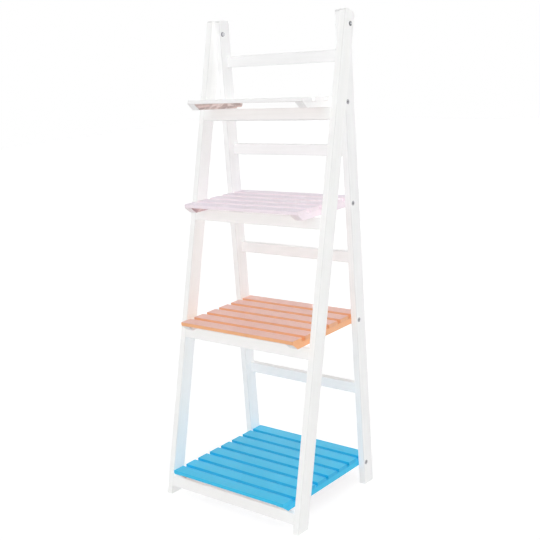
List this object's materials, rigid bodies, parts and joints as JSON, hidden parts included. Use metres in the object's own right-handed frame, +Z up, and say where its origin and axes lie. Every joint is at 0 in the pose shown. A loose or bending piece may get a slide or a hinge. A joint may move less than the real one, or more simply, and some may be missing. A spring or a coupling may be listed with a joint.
{
  "type": "folding plant stand",
  "caption": "Folding wooden A-frame plant stand with slatted shelves that lift and a front frame that folds against the rear one.",
  "frame": {"origin": "centre of the footprint on the floor", "axes": "+X to the right seen from the front, +Y to the back, +Z up; the low, leaning front frame is at -Y"},
  "size_m": [0.4028, 0.3206, 1.0902],
  "materials": {
    "white_paint": "satin white paint on wood",
    "lilac_paint": "satin pale lilac paint on wood",
    "orange_paint": "satin orange paint on wood",
    "blue_paint": "satin sky blue paint on wood",
    "dowel_wood": "bare",
    "dark_steel": "black satin",
    "steel": "plain zinc plated"
  },
  "bodies": {
    "rear_frame": {"rear_leg_left": "white_paint", "rear_leg_right": "white_paint", "rear_rail_1": "white_paint", "rear_rail_2": "white_paint", "rear_rail_3": "white_paint", "rear_rail_4": "white_paint", "rear_dowels": "dowel_wood", "frame_bolts": "dark_steel", "frame_spacers": "steel", "frame_nut_washers": "dark_steel", "frame_nuts": "dark_steel", "shelf_screws": "steel", "shelf_washers": "steel"},
    "front_frame": {"front_leg_left": "white_paint", "front_leg_right": "white_paint", "front_rail_1": "white_paint", "front_rail_2": "white_paint", "front_rail_3": "white_paint", "front_rail_4": "white_paint", "front_dowels": "dowel_wood"},
    "shelf_1": {"shelf_1_runner_left": "white_paint", "shelf_1_runner_right": "white_paint", "shelf_1_slat_1": "white_paint", "shelf_1_slat_2": "white_paint", "shelf_1_slat_3": "white_paint", "shelf_1_slat_4": "white_paint"},
    "shelf_2": {"shelf_2_runner_left": "lilac_paint", "shelf_2_runner_right": "lilac_paint", "shelf_2_slat_1": "lilac_paint", "shelf_2_slat_2": "lilac_paint", "shelf_2_slat_3": "lilac_paint", "shelf_2_slat_4": "lilac_paint", "shelf_2_slat_5": "lilac_paint"},
    "shelf_3": {"shelf_3_runner_left": "orange_paint", "shelf_3_runner_right": "orange_paint", "shelf_3_slat_1": "orange_paint", "shelf_3_slat_2": "orange_paint", "shelf_3_slat_3": "orange_paint", "shelf_3_slat_4": "orange_paint", "shelf_3_slat_5": "orange_paint", "shelf_3_slat_6": "orange_paint"},
    "shelf_4": {"shelf_4_runner_left": "blue_paint", "shelf_4_runner_right": "blue_paint", "shelf_4_slat_1": "blue_paint", "shelf_4_slat_2": "blue_paint", "shelf_4_slat_3": "blue_paint", "shelf_4_slat_4": "blue_paint", "shelf_4_slat_5": "blue_paint", "shelf_4_slat_6": "blue_paint", "shelf_4_slat_7": "blue_paint", "shelf_4_slat_8": "blue_paint"}
  },
  "joints": [
    {"name": "fold", "type": "hinge", "parent": "rear_frame", "child": "front_frame", "pos_m": [0, 0.13169, 1.058], "axis": [1, 0, 0], "range_deg": [0, 12]},
    {"name": "shelf_1_lift", "type": "hinge", "parent": "rear_frame", "child": "shelf_1", "pos_m": [0, 0.13169, 0.89443], "axis": [-1, 0, 0], "range_deg": [0, 82.4]},
    {"name": "shelf_2_lift", "type": "hinge", "parent": "rear_frame", "child": "shelf_2", "pos_m": [0, 0.13169, 0.67225], "axis": [-1, 0, 0], "range_deg": [0, 87]},
    {"name": "shelf_3_lift", "type": "hinge", "parent": "rear_frame", "child": "shelf_3", "pos_m": [0, 0.13169, 0.4031], "axis": [-1, 0, 0], "range_deg": [0, 88]},
    {"name": "shelf_4_lift", "type": "hinge", "parent": "rear_frame", "child": "shelf_4", "pos_m": [0, 0.13169, 0.05332], "axis": [-1, 0, 0], "range_deg": [0, 87.4]}
  ]
}
